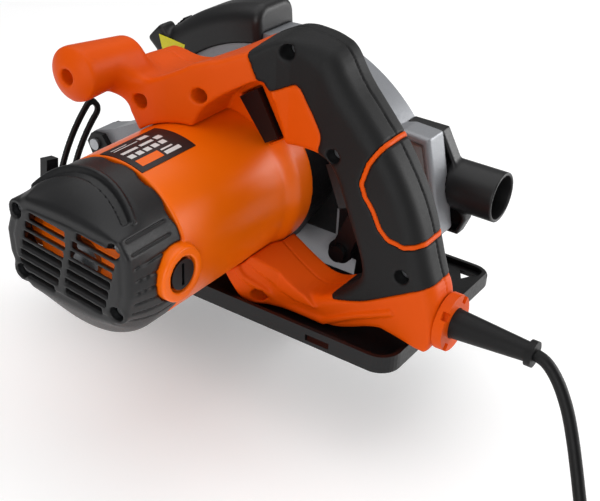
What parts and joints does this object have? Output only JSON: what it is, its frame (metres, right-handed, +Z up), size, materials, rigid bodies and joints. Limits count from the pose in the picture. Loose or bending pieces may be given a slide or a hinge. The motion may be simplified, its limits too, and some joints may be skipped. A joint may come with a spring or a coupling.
{
  "type": "circular saw",
  "caption": "Corded hand-held circular saw with the blade on the right, D-handle, front knob, swinging lower guard, dust outlet and a base plate that sets depth and bevel.",
  "frame": {"origin": "centre of the footprint of the saw without its free cord, coil and plug, at the height of the lower guard's lowest point", "axes": "+X along the spindle from the motor to the blade, +Y the cutting direction (front), +Z up; the sole is level and faces -Z"},
  "size_m": [0.234, 0.6124, 0.2392],
  "materials": {
    "motor_housing": "fine spark-eroded texture",
    "end_cap": "fine texture",
    "end_cap_screws": "zinc plated",
    "brush_caps": "satin",
    "brush_holders": "stamped",
    "carbon_brushes": "pressed carbon",
    "stator_core": "stacked electrical steel sheets",
    "field_coils": "varnished copper wire",
    "rating_plate": "printed film",
    "motor_bearings": "ground",
    "armature_shaft": "ground",
    "armature_core": "stacked electrical steel sheets",
    "commutator": "turned copper",
    "cooling_fan": "moulded",
    "gear_plate": "die cast",
    "gear_housing": "die cast",
    "gear_housing_screws": "zinc plated",
    "spindle_bearings": "ground",
    "spindle": "turned",
    "gear_wheel": "hobbed and hardened",
    "inner_flange": "turned",
    "outer_flange": "turned",
    "blade": "ground",
    "blade_bolt": "blackened",
    "spindle_lock": "satin, steel core",
    "upper_guard": "die cast, silver paint",
    "lower_guard": "zinc plated sheet",
    "guard_lever": "satin",
    "guard_ring": "spring steel",
    "guard_spring": "spring wire",
    "laser_cover": "fine texture",
    "laser_module": "turned",
    "laser_switch": "ribbed",
    "dust_chute": "silver grey moulding with a smoked window",
    "dust_port": "fine texture",
    "handle_left": "fine spark-eroded texture",
    "handle_right": "fine spark-eroded texture",
    "grip_left": "soft overmould",
    "grip_right": "soft overmould",
    "handle_screws": "blackened",
    "trigger": "satin",
    "lock_off_button": "satin",
    "switch_block": "moulded",
    "cord_collar": "fine texture",
    "strain_relief": "ribbed",
    "power_cord": "matte jacket",
    "cord_coil": "matte jacket",
    "cord_tail": "matte jacket",
    "plug_body": "moulded",
    "plug_pins": "nickel plated",
    "base_plate": "black powder coat",
    "bevel_quadrant": "black powder coat",
    "front_bracket": "black powder coat",
    "rear_bracket": "black powder coat",
    "bevel_pins": "zinc plated",
    "depth_pin": "zinc plated",
    "depth_bolt": "zinc plated",
    "depth_lever": "satin",
    "bevel_bolt": "zinc plated",
    "bevel_lever": "satin"
  },
  "bodies": {
    "saw_body": {"motor_housing": "motor_housing", "end_cap": "end_cap", "end_cap_screws": "end_cap_screws", "brush_caps": "brush_caps", "brush_holders": "brush_holders", "carbon_brushes": "carbon_brushes", "stator_core": "stator_core", "field_coils": "field_coils", "rating_plate": "rating_plate", "motor_bearings": "motor_bearings", "gear_plate": "gear_plate", "gear_housing": "gear_housing", "gear_housing_screws": "gear_housing_screws", "spindle_bearings": "spindle_bearings", "upper_guard": "upper_guard", "guard_ring": "guard_ring", "guard_spring": "guard_spring", "laser_cover": "laser_cover", "laser_module": "laser_module", "dust_chute": "dust_chute", "dust_port": "dust_port", "handle_left": "handle_left", "handle_right": "handle_right", "grip_left": "grip_left", "grip_right": "grip_right", "handle_screws": "handle_screws", "switch_block": "switch_block", "cord_collar": "cord_collar", "strain_relief": "strain_relief", "power_cord": "power_cord", "cord_coil": "cord_coil", "cord_tail": "cord_tail", "plug_body": "plug_body", "plug_pins": "plug_pins", "depth_bolt": "depth_bolt"},
    "armature": {"armature_shaft": "armature_shaft", "armature_core": "armature_core", "commutator": "commutator", "cooling_fan": "cooling_fan"},
    "blade_spindle": {"spindle": "spindle", "gear_wheel": "gear_wheel", "inner_flange": "inner_flange", "outer_flange": "outer_flange", "blade": "blade", "blade_bolt": "blade_bolt"},
    "spindle_lock": {"spindle_lock": "spindle_lock"},
    "lower_guard": {"lower_guard": "lower_guard", "guard_lever": "guard_lever"},
    "laser_switch": {"laser_switch": "laser_switch"},
    "trigger": {"trigger": "trigger"},
    "lock_off_button": {"lock_off_button": "lock_off_button"},
    "depth_lever": {"depth_lever": "depth_lever"},
    "tilt_frame": {"front_bracket": "front_bracket", "rear_bracket": "rear_bracket", "bevel_pins": "bevel_pins", "depth_pin": "depth_pin", "bevel_bolt": "bevel_bolt"},
    "base": {"base_plate": "base_plate", "bevel_quadrant": "bevel_quadrant"},
    "bevel_lever": {"bevel_lever": "bevel_lever"}
  },
  "joints": [
    {"name": "blade_spin", "type": "hinge", "parent": "saw_body", "child": "blade_spindle", "pos_m": [0.086, 0.034, 0.097], "axis": [1, 0, 0], "continuous": true},
    {"name": "armature_spin", "type": "hinge", "parent": "saw_body", "child": "armature", "pos_m": [-0.014, 0.029, 0.1348], "axis": [1, 0, 0], "continuous": true},
    {"name": "lower_guard_swing", "type": "hinge", "parent": "saw_body", "child": "lower_guard", "pos_m": [0.086, 0.034, 0.097], "axis": [-1, 0, 0], "range_deg": [0, 150], "stiffness_Nm_per_rad": 0.25, "springref_deg": -28.65},
    {"name": "depth_pivot", "type": "hinge", "parent": "saw_body", "child": "tilt_frame", "pos_m": [0.061, 0.1665, 0.105], "axis": [1, 0, 0], "range_deg": [0, 28]},
    {"name": "bevel_tilt", "type": "hinge", "parent": "tilt_frame", "child": "base", "pos_m": [0.086, 0.034, 0.0745], "axis": [0, -1, 0], "range_deg": [0, 45]},
    {"name": "depth_lever_turn", "type": "hinge", "parent": "saw_body", "child": "depth_lever", "pos_m": [0.056, -0.033, 0.091], "axis": [1, 0, 0], "range_deg": [0, 50]},
    {"name": "bevel_lever_turn", "type": "hinge", "parent": "tilt_frame", "child": "bevel_lever", "pos_m": [-0.00487, 0.159, 0.07926], "axis": [0, -1, 0], "range_deg": [0, 60]},
    {"name": "trigger_press", "type": "slide", "parent": "saw_body", "child": "trigger", "axis": [0, -0.921, 0.3896], "range_m": [0, 0.004], "stiffness_N_per_m": 600, "springref_m": -0.003},
    {"name": "lock_off_press", "type": "slide", "parent": "saw_body", "child": "lock_off_button", "axis": [1, 0, 0], "range_m": [0, 0.003], "stiffness_N_per_m": 400, "springref_m": -0.002},
    {"name": "spindle_lock_press", "type": "slide", "parent": "saw_body", "child": "spindle_lock", "axis": [0, -1, 0], "range_m": [0, 0.003], "stiffness_N_per_m": 600, "springref_m": -0.002},
    {"name": "laser_switch_slide", "type": "slide", "parent": "saw_body", "child": "laser_switch", "axis": [0, 0.7314, -0.682], "range_m": [0, 0.004]}
  ],
  "couplings": [
    {"joint": "armature_spin", "follows": "blade_spin", "ratio": -2.2105}
  ]
}
